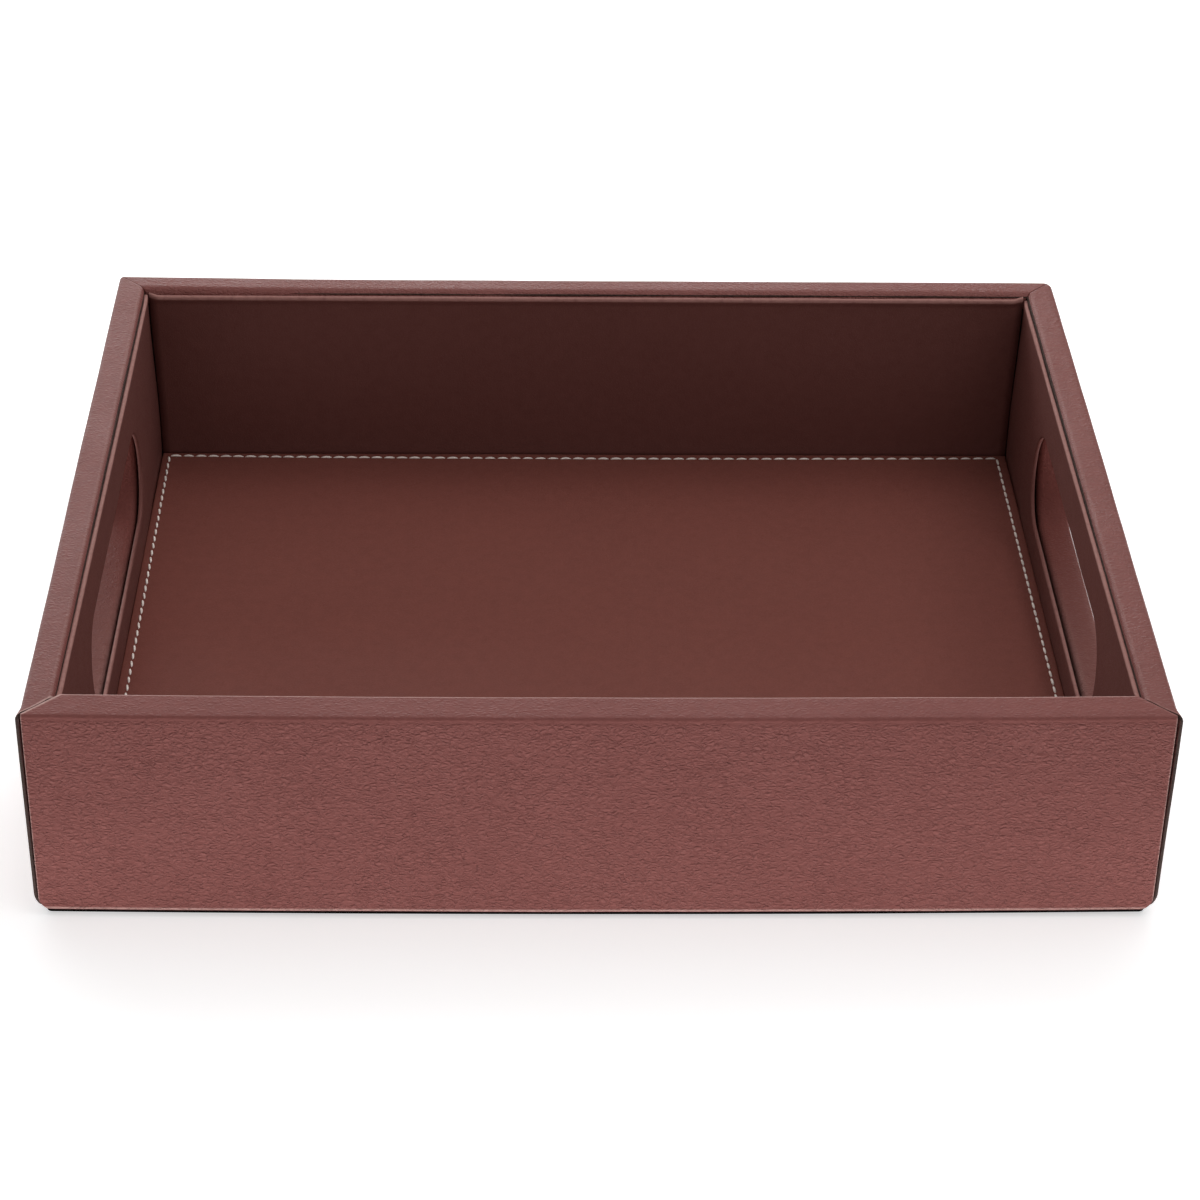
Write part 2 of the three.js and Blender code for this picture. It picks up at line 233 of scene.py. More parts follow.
def layFlat(bm, axes=(0, 2)):  # notes the flat pattern before folding
    pattern = bm.loops.layers.uv.verify()
    flat = bm.verts.layers.float["flat"]
    for vert in bm.verts:
        vert[flat] = vert.co.z
    for face in bm.faces:
        for loop in face.loops:
            loop[pattern].uv = [loop.vert.co[axis] * mm for axis in axes]


def foldRows(bm, rows):  # folds the sheet back over these rows
    flat = bm.verts.layers.float["flat"]
    steps = len(rows) - 1
    way = 1 if rows[-1] > rows[0] else -1
    for place, row in enumerate(rows):
        share = 0.5 if place in (0, steps) else 1.0
        pivot = next(vert.co.copy() for vert in bm.verts if abs(vert[flat] - row) < near)
        beyond = [vert for vert in bm.verts if (vert[flat] - row) * way > near]
        turn = Matrix.Rotation(-way * share * square / steps, 3, "X")
        bmesh.ops.rotate(bm, cent=pivot, matrix=turn, verts=beyond)


def partsOf(faces):  # faces with their edges and corners
    parts = dict.fromkeys(vert for face in faces for vert in face.verts)
    parts.update(dict.fromkeys(edge for face in faces for edge in face.edges))
    return list(parts) + list(faces)


def markWearAndLight(bm, low, high, amount):  # marks rows of the flat pattern pale, for wear and for painted highlights
    flat, wearAndPaintedLight = bm.verts.layers.float["flat"], bm.verts.layers.float["wearAndPaintedLight"]
    for vert in bm.verts:
        if low - near < vert[flat] < high + near:
            vert[wearAndPaintedLight] = amount


def trim(bm, point, normal, faces=None):  # cuts off what lies beyond a plane
    geom = partsOf(bm.faces[:] if faces is None else faces)
    bmesh.ops.bisect_plane(bm, geom=geom, plane_co=point, plane_no=normal, clear_outer=True)


def addCrease(bm, point, normal):  # a row of edges along a plane
    bmesh.ops.bisect_plane(bm, geom=partsOf(bm.faces[:]), plane_co=point, plane_no=normal)


def ripple(bm, height, size, seed):  # the slow waves that glued leather keeps
    bm.normal_update()
    moves = {}
    for vert in bm.verts:
        wave = noise.noise(vert.co / size + Vector((seed, 2.7 * seed, 0)))
        moves[vert] = vert.normal * wave * height
    for vert, move in moves.items():
        vert.co += move


def thicken(bm, thickness):  # raw edges get the second material
    good = set(bm.faces)
    rawEdges = [edge for edge in bm.edges if edge.is_boundary]
    bmesh.ops.solidify(bm, geom=list(good), thickness=thickness)
    for edge in rawEdges:
        for face in edge.link_faces:
            if face not in good:
                face.material_index = 1


def standAt(bm, turn, distance):  # turns a sheet to its wall
    spot = Vector((math.sin(turn), -math.cos(turn), 0)) * distance
    place = Matrix.Translation(spot) @ Matrix.Rotation(turn, 4, "Z")
    bmesh.ops.transform(bm, matrix=place, verts=bm.verts[:])


def makePiece(name, bm, materials, nodes):
    bmesh.ops.scale(bm, vec=(mm, mm, mm), verts=bm.verts[:])
    mesh = bpy.data.meshes.new(name)
    bm.to_mesh(mesh)
    bm.free()
    mesh.shade_smooth()
    piece = bpy.data.objects.new(name, mesh)
    scene.collection.objects.link(piece)
    for material in materials:
        mesh.materials.append(material)
    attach(piece, "root")
    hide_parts(*nodes)


# Node helpers
def addNode(tree, kind, **settings):
    node = tree.nodes.new(kind)
    for name, value in settings.items():
        if name in node.bl_rna.properties:
            setattr(node, name, value)
        else:
            node.inputs[name].default_value = value
    return node


def feed(tree, socket, value):  # a link, a constant or nothing
    if isinstance(value, bpy.types.NodeSocket):
        tree.links.new(value, socket)
    elif value is not None:
        socket.default_value = value


def addMath(tree, operation, first, second=None, third=None, clamp=False):
    node = addNode(tree, "ShaderNodeMath", operation=operation, use_clamp=clamp)
    for socket, value in zip(node.inputs, (first, second, third)):
        feed(tree, socket, value)
    return node.outputs[0]


def addVectorMath(tree, operation, first, second):
    node = addNode(tree, "ShaderNodeVectorMath", operation=operation)
    for socket, value in zip(node.inputs, (first, second)):
        feed(tree, socket, value)
    return node.outputs[0]


def addRange(tree, value, fromLow, fromHigh, toLow=0.0, toHigh=1.0):
    node = addNode(tree, "ShaderNodeMapRange", interpolation_type="SMOOTHSTEP")
    names = ("Value", "From Min", "From Max", "To Min", "To Max")
    for name, amount in zip(names, (value, fromLow, fromHigh, toLow, toHigh)):
        feed(tree, node.inputs[name], amount)
    return node.outputs["Result"]


def addMix(tree, factor, first, second):
    node = addNode(tree, "ShaderNodeMix", data_type="RGBA")
    for name, value in (("Factor_Float", factor), ("A_Color", first), ("B_Color", second)):
        socket = next(socket for socket in node.inputs if socket.identifier == name)
        feed(tree, socket, (*value, 1.0) if isinstance(value, tuple) else value)
    return next(socket for socket in node.outputs if socket.identifier == "Result_Color")


def addNoise(tree, vector, scale, detail=2.0, roughness=0.5, output="Fac"):
    node = addNode(tree, "ShaderNodeTexNoise", Scale=scale, Detail=detail, Roughness=roughness)
    tree.links.new(vector, node.inputs["Vector"])
    return node.outputs[output]


def newGroup(name, inputs, outputs):
    group = bpy.data.node_groups.new(name, "ShaderNodeTree")
    for label, kind, default in inputs:
        socket = group.interface.new_socket(label, in_out="INPUT", socket_type=kind)
        if default is not None:
            socket.default_value = default
    for label, kind in outputs:
        group.interface.new_socket(label, in_out="OUTPUT", socket_type=kind)
    return group, group.nodes.new("NodeGroupInput").outputs, group.nodes.new("NodeGroupOutput").inputs


def placeGroup(tree, group, **settings):
    node = addNode(tree, "ShaderNodeGroup", node_tree=group)
    for name, value in settings.items():
        feed(tree, node.inputs[name], value)
    return node


def newMaterial(name, roughness, specular):
    material = bpy.data.materials.new(name)
    material.use_nodes = True
    tree = material.node_tree
    shader = tree.nodes["Principled BSDF"]
    shader.inputs["Roughness"].default_value = roughness
    shader.inputs["Specular IOR Level"].default_value = specular
    return material, tree, shader


def addBump(tree, shader, height, strength, distance):
    bump = addNode(tree, "ShaderNodeBump", Strength=strength, Distance=distance)
    tree.links.new(height, bump.inputs["Height"])
    tree.links.new(bump.outputs["Normal"], shader.inputs["Normal"])


def patternPlace(tree):  # lengths on the flat pattern, in metres
    return addNode(tree, "ShaderNodeUVMap", uv_map="pattern").outputs["UV"]


def objectPlace(tree):
    return tree.nodes.new("ShaderNodeTexCoord").outputs["Object"]


# Pebbled leather: cells with rounded tops, drawn out along the sheet, and finer pores between them
pebbles = {  # scales count in cells
    "wander": 0.6,
    "warp": (1.7, 1.2, 1.2),
    "topWidths": (1.0, 0.4),  # round tops, and the narrow lines between them
    "topHeight": 0.62,
    "patchScale": 0.09,
    "patchFade": (0.32, 0.68),
    "furrowScale": 0.5,
    "furrowWidth": 0.05,
    "furrowDepth": 0.4,
    "wrinkleScale": 0.7,
    "wrinkleHeight": 0.9,
    "poreScale": 4.0,
    "poreHeight": 0.08,
    "hollowShade": 0.6,
}


def makeGrainGroup():
    style = pebbles
    group, given, out = newGroup(
        "leatherGrain",
        [
            ("Vector", "NodeSocketVector", None),
            ("Pebble", "NodeSocketFloat", 900.0),
            ("Stretch", "NodeSocketFloat", 1.8),
            ("Softness", "NodeSocketFloat", 0.3),
        ],
        [("Height", "NodeSocketFloat"), ("Crease", "NodeSocketFloat")],
    )
    across = group.nodes.new("ShaderNodeCombineXYZ")
    group.links.new(addMath(group, "DIVIDE", given["Pebble"], given["Stretch"]), across.inputs["X"])
    group.links.new(given["Pebble"], across.inputs["Y"])
    group.links.new(given["Pebble"], across.inputs["Z"])
    cells = addVectorMath(group, "MULTIPLY", given["Vector"], across.outputs[0])
    wander = addNoise(group, cells, style["wander"], output="Color")
    shift = addVectorMath(group, "SUBTRACT", wander, (0.5, 0.5, 0.5))
    shift = addVectorMath(group, "MULTIPLY", shift, style["warp"])
    warped = addVectorMath(group, "ADD", cells, shift)
    cell = addNode(group, "ShaderNodeTexVoronoi", feature="DISTANCE_TO_EDGE", Scale=1.0)
    group.links.new(warped, cell.inputs["Vector"])
    tops = []
    for width in style["topWidths"]:
        reach = addMath(group, "MULTIPLY", given["Softness"], width)
        tops.append(addRange(group, cell.outputs["Distance"], 0.0, reach))
    patch = addRange(group, addNoise(group, cells, style["patchScale"]), *style["patchFade"])
    winding = addMath(group, "SUBTRACT", addNoise(group, warped, style["furrowScale"]), 0.5)
    furrow = addRange(group, addMath(group, "ABSOLUTE", winding), 0.0, style["furrowWidth"], 1.0, 0.0)
    furrow = addMath(group, "MULTIPLY", furrow, addMath(group, "MULTIPLY_ADD", patch, 0.4, 0.4))
    wrinkle = addNoise(group, warped, style["wrinkleScale"], 2.0, 0.6)
    height = addMath(group, "MULTIPLY", wrinkle, style["wrinkleHeight"])
    height = addMath(group, "MULTIPLY_ADD", tops[0], style["topHeight"], height)
    pores = addNoise(group, cells, style["poreScale"], 3.0, 0.6)
    height = addMath(group, "MULTIPLY_ADD", pores, style["poreHeight"], height)
    group.links.new(addMath(group, "MULTIPLY_ADD", furrow, -style["furrowDepth"], height), out["Height"])
    # the Crease mask marks the hollows and furrows, which the tone darkens as painted shade
    hollow = addMath(group, "MULTIPLY", addMath(group, "SUBTRACT", 1.0, tops[1]), style["hollowShade"])
    group.links.new(addMath(group, "MAXIMUM", hollow, furrow), out["Crease"])
    return group


# Colour of leather: slow clouds, a faint mottle, and painted shade darkening the creases
def makeToneGroup():
    group, given, out = newGroup(
        "leatherTone",
        [
            ("Vector", "NodeSocketVector", None),
            ("Base", "NodeSocketColor", None),
            ("Deep", "NodeSocketColor", None),
            ("Crease", "NodeSocketFloat", 0.0),
            ("Darkening", "NodeSocketFloat", 0.35),
        ],
        [("Color", "NodeSocketColor"), ("Cloud", "NodeSocketFloat")],
    )
    cloud = addRange(group, addNoise(group, given["Vector"], 22.0, 3.0), 0.3, 0.7)
    mottle = addRange(group, addNoise(group, given["Vector"], 260.0, 3.0), 0.3, 0.7)
    # the creases are drawn darker: painted shade in the grain's hollows and furrows
    depth = addMath(group, "MULTIPLY", given["Crease"], given["Darkening"])
    depth = addMath(group, "MULTIPLY_ADD", cloud, 0.05, depth)
    depth = addMath(group, "MULTIPLY_ADD", mottle, 0.12, depth, clamp=True)
    group.links.new(addMix(group, depth, given["Base"], given["Deep"]), out["Color"])
    group.links.new(cloud, out["Cloud"])
    return group


grainGroup = makeGrainGroup()
toneGroup = makeToneGroup()
rimFade = (71.2, 72.6)  # mm above the table: the leather is pressed flatter on the rim


def makeLeather(name, look, place):
    material, tree, shader = newMaterial(name, look["roughness"], look["specular"])
    vector = place(tree)
    grain = placeGroup(
        tree,
        grainGroup,
        Vector=vector,
        Pebble=look["pebble"],
        Stretch=look["stretch"],
        Softness=look["softness"],
    )
    level = tree.nodes.new("ShaderNodeSeparateXYZ")
    tree.links.new(objectPlace(tree), level.inputs[0])
    low, high = (height * mm for height in rimFade)
    pressed = addRange(tree, level.outputs["Z"], low, high, 1.0, look["rimGrain"])
    # the painted shade in the creases is weaker on the pressed rim
    crease = addMath(tree, "MULTIPLY", grain.outputs["Crease"], pressed)
    tone = placeGroup(
        tree,
        toneGroup,
        Vector=vector,
        Base=(*look["base"], 1.0),
        Deep=(*look["deep"], 1.0),
        Crease=crease,
        Darkening=look["creaseShade"],
    )
    # a paler colour where the sheet is marked: partly wear, partly painted highlights and painted light
    wearAndPaintedLight = addNode(tree, "ShaderNodeAttribute", attribute_name="wearAndPaintedLight").outputs["Fac"]
    wearAndLightMask = addRange(tree, addNoise(tree, vector, 420.0, 3.0), 0.2, 0.6)
    wearAndLightMask = addMath(tree, "MULTIPLY", addMath(tree, "MULTIPLY_ADD", wearAndLightMask, 0.4, 0.6), wearAndPaintedLight, clamp=True)
    tree.links.new(addMix(tree, wearAndLightMask, tone.outputs["Color"], look["wearAndLightColour"]), shader.inputs["Base Color"])
    rough = addMath(tree, "MULTIPLY_ADD", crease, 0.18, look["roughness"] - 0.05)
    rough = addMath(tree, "MULTIPLY_ADD", tone.outputs["Cloud"], 0.07, rough, clamp=True)
    tree.links.new(rough, shader.inputs["Roughness"])
    height = addMath(tree, "MULTIPLY", grain.outputs["Height"], pressed)
    addBump(tree, shader, height, look["bump"], look["relief"] * mm)
    return material


outerLook = {
    "base": (0.232, 0.0765, 0.066),
    "deep": (0.105, 0.031, 0.028),
    "roughness": 0.48,
    "specular": 0.2,
    "wearAndLightColour": (0.5, 0.3, 0.27),
    "pebble": 820.0,  # cells in a metre
    "stretch": 1.5,
    "softness": 0.44,
    "creaseShade": 0.23,
    "bump": 1.0,
    "relief": 0.54,  # mm
    "rimGrain": 0.32,
}
frontLook = {**outerLook, "base": (0.241, 0.0836, 0.0742), "specular": 0.08}  # duller, with a paler base that paints in part of the sheen this takes away
# the sleeve's leather is the outer leather drawn darker: painted shade inside the hand hole
sleeveLook = {**outerLook, "base": (0.172, 0.052, 0.043), "stretch": 1.2, "bump": 0.4, "specular": 0.06}
floorLook = {
    "base": (0.197, 0.061, 0.047),
    "deep": (0.1, 0.03, 0.024),
    "wearAndLightColour": (0.4, 0.2, 0.175),
    "roughness": 0.58,
    "specular": 0.12,
    "rimGrain": 1.0,
    "pebble": 1500.0,
    "stretch": 1.3,
    "softness": 0.3,
    "creaseShade": 0.22,
    "bump": 0.3,
    "relief": 0.16,
}
# the lining is the floor's leather drawn less red and greyer: painted shade with a painted sheen
liningLook = {**floorLook, "base": (0.175, 0.067, 0.057)}

# Plain stuffs: specks between two shades, with a little relief
stuffs = {
    "rawEdge": {  # the grey cloth that backs the leather, where it is cut
        "roughness": 0.9,
        "specular": 0.15,
        "specks": (2600.0, 3.0, 0.65),  # scale, detail and roughness
        "fade": (0.3, 0.7),
        "dark": (0.04, 0.026, 0.023),
        "pale": (0.085, 0.055, 0.048),
        "bump": 0.6,
        "relief": 0.2,  # mm
    },
    "offWhiteThread": {
        "roughness": 0.75,
        "specular": 0.25,
        "specks": (2400.0, 3.0, 0.5),
        "fade": (0.3, 0.72),
        "dark": (0.86, 0.75, 0.68),
        "pale": (0.98, 0.91, 0.85),
        "bump": 0.5,
        "relief": 0.12,
    },
    "darkFelt": {
        "roughness": 0.95,
        "specular": 0.1,
        "specks": (1500.0, 4.0, 0.7),
        "matting": (180.0, 3.0, 0.5),
        "fade": (0.12, 0.42),
        "dark": (0.012, 0.009, 0.009),
        "pale": (0.04, 0.03, 0.028),
        "bump": 0.8,
        "relief": 0.4,
    },
    # the boards are drawn near black so that the gaps between the leathers read dark: painted shade
    "shadeDarkFibreboard": {
        "roughness": 0.85,
        "specular": 0.2,
        "specks": (900.0, 4.0, 0.65),
        "fade": (0.3, 0.7),
        "dark": (0.026, 0.013, 0.011),
        "pale": (0.07, 0.038, 0.03),
        "bump": 0.4,
        "relief": 0.2,
    },
    "greyCard": {
        "roughness": 0.9,
        "specular": 0.2,
        "specks": (1200.0, 4.0, 0.6),
        "fade": (0.3, 0.7),
        "dark": (0.2, 0.18, 0.15),
        "pale": (0.3, 0.27, 0.23),
        "bump": 0.3,
        "relief": 0.1,
    },
    "nailSteel": {
        "roughness": 0.4,
        "specular": 0.5,
        "specks": (1800.0, 3.0, 0.5),
        "fade": (0.3, 0.7),
        "dark": (0.4, 0.4, 0.41),
        "pale": (0.6, 0.6, 0.62),
        "shine": (0.3, 0.5),  # roughness of bare metal
    },
}


def makeStuff(name, look):
    material, tree, shader = newMaterial(name, look["roughness"], look["specular"])
    vector = objectPlace(tree)
    specks = addNoise(tree, vector, *look["specks"])
    shade = specks
    if "matting" in look:
        shade = addMath(tree, "MULTIPLY", specks, addNoise(tree, vector, *look["matting"]))
    shade = addRange(tree, shade, *look["fade"])
    tree.links.new(addMix(tree, shade, look["dark"], look["pale"]), shader.inputs["Base Color"])
    if "shine" in look:
        shader.inputs["Metallic"].default_value = 1.0
        rough = addRange(tree, specks, *look["fade"], *look["shine"])
        tree.links.new(rough, shader.inputs["Roughness"])
    else:
        addBump(tree, shader, specks, look["bump"], look["relief"] * mm)
    return material


outerLeather = makeLeather("outerLeather", outerLook, patternPlace)
frontLeather = makeLeather("frontLeather", frontLook, patternPlace)
sleeveLeather = makeLeather("sleeveLeather", sleeveLook, objectPlace)
liningLeather = makeLeather("liningLeather", liningLook, patternPlace)
floorLeather = makeLeather("floorLeather", floorLook, patternPlace)
rawEdge, offWhiteThread, darkFelt, fibreboard, greyCard, nailSteel = (
    makeStuff(name, look) for name, look in stuffs.items()
)
print("materials made:", len(bpy.data.materials))


# Outer covers: one sheet for each wall, turned under its foot, up, over the rim and down inside
outerCover = {
    "thickness": 0.9,
    "rim": {"front": 12.0, "right": 9.7, "back": 10.3, "left": 9.7},  # from the face to the drop inside
    "rimBend": {"front": 1.0, "right": 1.6, "back": 1.6, "left": 1.6},
    "innerBend": {"front": 1.4, "right": 1.8, "back": 2.8, "left": 1.8},
    "endDrop": 3.0,  # how far the covers go down inside, except at the front
    "longFootBend": 1.1,
    "endFootBend": 6.3,
    "lowerCorner": 5.0,  # radius of a long cover's lower corners
    "cornerCuts": 6,
    "footLift": 0.45,  # the felt holds the covers' feet up a little
    "turnUnder": 16.0,
    "holeRoll": 1.0,  # radius of the hand hole's outer edge
    "holeRoom": 0.2,  # between the cover and the sleeve's roll
    "frontGap": 1.3,  # a long cover's face stops this far short of the tray's corner
    "backGap": 0.97,
    "frontMitre": 0.28,
    "backMitre": 0.02,
    "mitreDepth": 15.0,
    "footTuck": 1.5,  # an end cover's foot is tucked behind the long ones from here inwards
    "footSlant": 0.8,
    "endCreases": (0.6, 1.2, 1.8, 2.4, 3.0, 4.5),  # rows for the shapes near a cut end
    "footCrease": 0.5,
    "backCorner": (1.4, 3.2),  # radius of the back left and right corners, seen from above
    "backLift": 0.7,  # the back left corner stands a little high
    "backLiftRun": 90.0,
    "frontLift": 0.8,  # and so does the front wall
    "frontLiftFrom": 60.0,
    "frontLiftRun": 180.0,
    "liftLevels": (56.0, 70.0),
    "bow": 1.4,  # how far the front wall bulges in the middle
    "flare": 1.0,  # how far an end cover's front edge stands off at its top
    "flareRun": 6.0,
    "leanIn": {"right": 0.5, "left": 0.7},  # how far an end wall's top leans in towards the front
    "leanReach": 1.3,
    "ripple": 0.09,
    "rippleSize": 26.0,
    "fray": 0.14,  # how far the cut on the rim wanders
    "frayScale": 0.9,
    # a pale line along each rim's inner edge, strongest at the front: a painted highlight
    "rimHighlight": {"front": 0.85, "right": 0.05, "back": 0.0, "left": 0.1},
    "cutWearAndHighlight": {"front": 0.95, "right": 0.2, "back": 0.0, "left": 0.95},  # along the cuts at the front: wear on the rim's mitres, a painted highlight on the face's edges
    "darkCut": 0.1,  # on the front right mitre
    "cutWidth": 0.5,
    "cutMargin": 0.05,
    "edgeWidth": 0.2,  # pale edge of the front wall's face: wear with a painted highlight of its rounded edge
    "footWearAndHighlight": 0.8,  # pale line along the front wall's foot: wear with a painted highlight on the bend
    "footRows": (-0.5, 0.2),
    "weld": 0.06,
}
hole = {
    "length": sleeveHigh.y - sleeveLow.y - 2 * outerCover["thickness"],
    "height": sleeveHigh.z - sleeveLow.z - 2 * outerCover["thickness"],
    "level": (sleeveHigh.z + sleeveLow.z) / 2,
}


def isBackCorner(name, side):
    return name == "back" or (name, side) in (("right", 1), ("left", -1))


def roundLowerCorner(bm, side, reach, foot):  # straight cuts that run round an arc
    radius, cuts = outerCover["lowerCorner"], outerCover["cornerCuts"]
    centre = Vector((side * (reach - radius), 0, foot + radius))
    for step in range(1, cuts):
        angle = square * step / cuts
        way = Vector((side * math.cos(angle), 0, -math.sin(angle)))
        trim(bm, centre + way * radius, way)


def trimCover(bm, name, wall, side, low, high):
    style = outerCover
    half = wall["run"] / 2
    where = "back" if isBackCorner(name, side) else "front"
    for inset in style["endCreases"]:
        addCrease(bm, (side * (half - inset), 0, 0), (side, 0, 0))
    corner = side * (half - style[where + "Mitre"])
    for share in (1, 2):
        addCrease(bm, (corner - side * share * style["cutWidth"] * math.sqrt(2), 0, 0), (side, 1, 0))
    if wall["end"]:
        trim(bm, (corner, 0, 0), (side, 0, 0))
        over = [face for face in bm.faces if face.calc_center_median().z > high - style["mitreDepth"]]
        trim(bm, (corner, 0, 0), (side, 1, 0), over)
        under = [face for face in bm.faces if face.calc_center_median().z < low]
        trim(bm, (corner, style["footTuck"], 0), (side, style["footSlant"], 0), under)
    else:
        reach = half - style[where + "Gap"]
        trim(bm, (corner, 0, 0), (side, 1, 0))
        trim(bm, (side * reach, 0, 0), (side, 0, 0))
        roundLowerCorner(bm, side, reach, coverFoot + style["footLift"])


def markCutWearAndLight(bm, name, wall, low):  # the cut edges at the front are drawn pale: wear on the mitres, with painted highlights on the face's edges and foot
    style = outerCover
    half = wall["run"] / 2
    wearAndPaintedLight = bm.verts.layers.float["wearAndPaintedLight"]
    footLow, footHigh = style["footRows"]
    for vert in bm.verts:
        if isBackCorner(name, 1 if vert.co.x > 0 else -1):
            continue
        fromCut = (half - style["frontMitre"] - abs(vert.co.x) - vert.co.y) / math.sqrt(2)
        onRim = vert.co.z > tray["height"] - 2
        onEdge = half - style["frontGap"] - abs(vert.co.x) < style["edgeWidth"]
        if onRim and fromCut < style["cutWidth"] + style["cutMargin"]:
            onRight = name == "front" and vert.co.x > 0
            vert[wearAndPaintedLight] = style["darkCut"] if onRight else style["cutWearAndHighlight"][name]
        elif name == "front" and onEdge:
            vert[wearAndPaintedLight] = style["cutWearAndHighlight"][name]
        elif name == "front" and footLow < vert.co.z - low < footHigh and vert.co.y < 1:
            vert[wearAndPaintedLight] = style["footWearAndHighlight"]


def drawCover(bm, name, wall):  # how the glued sheet sits on its wall
    style = outerCover
    half = wall["run"] / 2
    cutOnRim = {vert for vert in bm.verts if vert.is_boundary and vert.co.z > tray["height"] - 0.5}
    for vert in bm.verts:
        if name == "front":
            vert.co.y -= style["bow"] * (1 - (vert.co.x / half) ** 2)
        if wall["end"]:
            front = -1 if name == "right" else 1
            fromCorner = half - front * vert.co.x
            outside = smoothStep(1 - vert.co.y / tray["rim"]) * smoothStep(vert.co.z / tray["height"])
            vert.co.y -= style["flare"] * outside * smoothStep(1 - fromCorner / style["flareRun"])
            vert.co.y += style["leanIn"][name] * outside * smoothStep(style["leanReach"] - fromCorner / half)
        if vert in cutOnRim and abs(vert.co.x) > half - tray["rim"] - 2:
            vert.co.x += style["fray"] * noise.noise(vert.co * style["frayScale"])


def roundBackCorner(vert):
    radius = outerCover["backCorner"][vert.co.x > 0]
    centre = Vector((tray["length"] / 2 - radius, tray["width"] / 2 - radius))
    out = Vector((abs(vert.co.x), vert.co.y)) - centre
    if min(out) > 0:
        spot = centre + out * (max(out) / out.length)
        vert.co.x = math.copysign(spot.x, vert.co.x)
        vert.co.y = spot.y


def liftTops(bm, backLift=outerCover["backLift"]):  # the walls' tops are not quite level
    style = outerCover
    low, high = style["liftLevels"]
    for vert in bm.verts:
        fromCorner = Vector((vert.co.x + tray["length"] / 2, vert.co.y - tray["width"] / 2)).length
        lift = backLift * smoothStep(1 - fromCorner / style["backLiftRun"])
        lift += style["frontLift"] * smoothStep((style["frontLiftFrom"] - vert.co.y) / style["frontLiftRun"])
        vert.co.z += lift * smoothStep((vert.co.z - low) / (high - low))


def makeOuterCover(name, wall, seed):
    style = outerCover
    bm = blankSheet()
    foot, top, rim = coverFoot + style["footLift"], tray["height"], style["rim"][name]
    bend, innerBend = style["rimBend"][name], style["innerBend"][name]
    footBend = style["endFootBend"] if wall["end"] else style["longFootBend"]
    low, high = foot + footBend, top - bend
    wallPanel(bm, wall, wall["run"], low, high, style["holeRoll"] + style["holeRoom"])
    dropEnd = floorLow.z if name == "front" else top - innerBend - style["endDrop"]
    outerRows = bendRows(high, bend, 6, 1)
    rimRows = evenRows(outerRows[-1], outerRows[-1] + rim - bend - innerBend, 4)
    innerRows = bendRows(rimRows[-1], innerBend, 8, 1)
    dropRows = evenRows(innerRows[-1], innerRows[-1] + top - innerBend - dropEnd, 6)
    footRows = bendRows(low, footBend, 8, -1)
    underRows = evenRows(footRows[-1], footRows[-1] - (style["turnUnder"] - footBend), 3)
    for rows in (outerRows, rimRows, innerRows, dropRows, footRows, underRows):
        growRows(bm, rows)
    if name == "front":
        addCrease(bm, (0, 0, low + style["footCrease"]), (0, 0, 1))
    faceForward(bm)
    layFlat(bm, (2, 0) if wall["end"] else (0, 2))
    # the rim's inner edge is drawn pale: a painted highlight
    markWearAndLight(bm, innerRows[1], innerRows[3], style["rimHighlight"][name])
    for rows in (outerRows, innerRows, footRows):
        foldRows(bm, rows)
    for side in (-1, 1):
        trimCover(bm, name, wall, side, low, high)
    markCutWearAndLight(bm, name, wall, low)
    ripple(bm, style["ripple"], style["rippleSize"], seed)
    drawCover(bm, name, wall)
    standAt(bm, wall["turn"], wall["across"] / 2)
    for vert in bm.verts:
        roundBackCorner(vert)
    liftTops(bm)
    bmesh.ops.remove_doubles(bm, verts=bm.verts[:], dist=style["weld"])
    thicken(bm, style["thickness"])
    finish = (frontLeather if name == "front" else outerLeather, rawEdge)
    makePiece(f"{name}OuterCover", bm, finish, [f"{name}_outer_cover"])


for seed, (name, wall) in enumerate(walls.items()):
    makeOuterCover(name, wall, 3.1 + 5 * seed)
print("outer covers folded")


# Linings: thin leather on a card, folded over its top edge and, at the ends, into the hand hole
lining = {
    "thickness": 0.3,
    "topBend": 0.6,
    "turnBack": 11.0,
    "holeInset": 1.0,
    "endGap": 0.05,  # an end lining stops this far short of the long ones
    "cardThickness": 0.5,
    "cardInset": 0.5,  # at the ends, the top and the hole
    "cardFoot": 0.3,
    "cardGap": 0.02,
    "lip": 0.7,
    "lipSteps": 8,
    "lipTurn": 1.5,  # how far the leather goes on behind the lip
    "lipWearAndHighlight": 0.8,  # pale lip: wear from hands towards the front, with a painted highlight on its crest
    "lipWearFade": (0.6, 1.2),  # its share in the middle, and how fast that grows
    # a pale band along each lining's fold: partly wear, partly a painted highlight
    "foldWearAndHighlight": {"front": 0.4, "right": 0.7, "back": 0.85, "left": 0.8},
    "foldDepth": {"front": 0.0, "right": 0.0, "back": 0.5, "left": 0.0},  # how far down its face the pale fold reaches
    "foldCreases": (0.4, 0.8, 1.3, 1.9),
    "lipLift": {"right": 0.55, "left": 0.15},  # how far the hole's lower lip stands off its wall
    "lipFall": 12.0,
    "lipFoot": 7.5,
    "lipFootRun": 9.0,
    "lipEndRun": 40.0,
    "cornerRise": 1.1,  # the gathered leather at a lining's upper corners
    "cornerRun": 3.2,
    "cornerHeight": 5.0,
    "bead": {"front": 0.2, "right": 0.2, "back": 0.35, "left": 0.15},
    "beadHeight": 2.4,
    "beadSkew": 0.8,
    "topDrop": {"front": 0.4, "right": 0.3, "back": 0.2, "left": 0.2},
    "lean": {"front": 0.1, "right": -1.35, "back": -1.25, "left": -1.35},  # off the wall, at the top
    "leanHeight": 55.0,
    "bow": 1.1,  # the front lining follows its wall
    "cornerTuck": 0.35,  # the end linings' upright edges bend back
    "tuckRun": 5.0,
    "ripple": 0.12,
    "rippleSize": 30.0,
}


